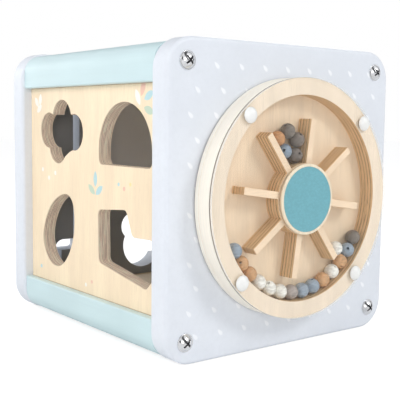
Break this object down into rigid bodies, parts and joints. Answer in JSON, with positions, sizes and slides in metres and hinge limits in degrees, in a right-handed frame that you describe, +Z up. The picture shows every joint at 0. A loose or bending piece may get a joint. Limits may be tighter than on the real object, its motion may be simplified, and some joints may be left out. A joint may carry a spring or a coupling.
{
  "type": "wooden activity cube",
  "caption": "Wooden activity cube with a shape sorter panel, a turning window drum of wooden beads, a sliding knob and a take-out opening.",
  "frame": {"origin": "on the ground, in the middle of the whole object's box", "axes": "+X from the far plate towards the drum, -Y towards the shape sorter panel, +Z up"},
  "size_m": [0.293, 0.236, 0.24],
  "materials": {
    "painted_plate": "satin paint, pale lilac grey with small white marks",
    "painted_rail": "satin paint, pale aqua",
    "panel_ply": "clear matt lacquer on birch ply",
    "drum_ply": "clear matt lacquer on birch ply",
    "cap_wood": "clear lacquer on pale wood",
    "inlay_teal": "matt teal paint",
    "window_clear": "clear acrylic sheet",
    "cap_white": "satin white",
    "bead_grey": "matt paint",
    "bead_charcoal": "matt paint",
    "bead_blue": "matt paint",
    "bead_clay": "matt paint",
    "bead_white": "matt paint",
    "block_aqua": "satin paint",
    "block_teal": "satin paint",
    "block_clay": "satin paint",
    "block_grey": "satin paint",
    "chrome_steel": "bright plated steel",
    "brass": "turned brass"
  },
  "bodies": {
    "cube": {"wheel_plate": "painted_plate", "far_plate": "painted_plate", "rail_top_front": "painted_rail", "rail_top_back": "painted_rail", "rail_base_front": "painted_rail", "rail_base_back": "painted_rail", "sorter_panel": "panel_ply", "back_panel": "panel_ply", "top_panel": "panel_ply", "base_panel": "panel_ply", "plate_screws": "chrome_steel", "screw_washers": "chrome_steel", "rail_inserts": "brass", "axle_bolt": "chrome_steel", "axle_head_washer": "chrome_steel", "axle_spacer": "chrome_steel", "axle_nut_washer": "chrome_steel", "axle_nut": "chrome_steel"},
    "drum": {"drum_disc": "drum_ply", "drum_ring": "drum_ply", "drum_star": "drum_ply", "drum_window": "window_clear", "drum_bush": "brass", "hub_cap": "cap_wood", "hub_inlay": "inlay_teal", "window_screws": "chrome_steel", "screw_caps": "cap_white", "upper_beads_grey": "bead_grey", "upper_beads_charcoal": "bead_charcoal", "upper_beads_blue": "bead_blue", "upper_beads_clay": "bead_clay", "lower_bead_white": "bead_white"},
    "bead_run": {"run_beads_blue": "bead_blue", "run_beads_clay": "bead_clay", "run_beads_white": "bead_white", "run_beads_grey": "bead_grey", "run_beads_charcoal": "bead_charcoal"},
    "cloud": {"block_cloud": "block_aqua"},
    "arch": {"block_arch": "block_clay"},
    "oval": {"block_oval": "block_teal"},
    "boot": {"block_boot": "block_grey"},
    "slider": {"slider_knob": "painted_rail", "slider_disc": "cap_wood", "slider_screw": "chrome_steel"}
  },
  "joints": [
    {"name": "drum_turn", "type": "hinge", "parent": "cube", "child": "drum", "pos_m": [0.12175, 0, 0.12], "axis": [1, 0, 0], "continuous": true},
    {"name": "beads_roll", "type": "hinge", "parent": "cube", "child": "bead_run", "pos_m": [0.12175, 0, 0.12], "axis": [1, 0, 0], "continuous": true},
    {"name": "knob_slide", "type": "slide", "parent": "cube", "child": "slider", "axis": [0, 0, 1], "range_m": [-0.0705, 0.0682]},
    {"name": "cloud_slide", "type": "slide", "parent": "cube", "child": "cloud", "axis": [1, 0, 0], "range_m": [-0.131, 0.0004]},
    {"name": "oval_slide", "type": "slide", "parent": "cube", "child": "oval", "axis": [1, 0, 0], "range_m": [-0.136, 0.0004]},
    {"name": "arch_slide", "type": "slide", "parent": "cube", "child": "arch", "axis": [1, 0, 0], "range_m": [-0.131, 0.0004]},
    {"name": "boot_slide", "type": "slide", "parent": "cube", "child": "boot", "axis": [1, 0, 0], "range_m": [-0.122, 0.0004]}
  ]
}
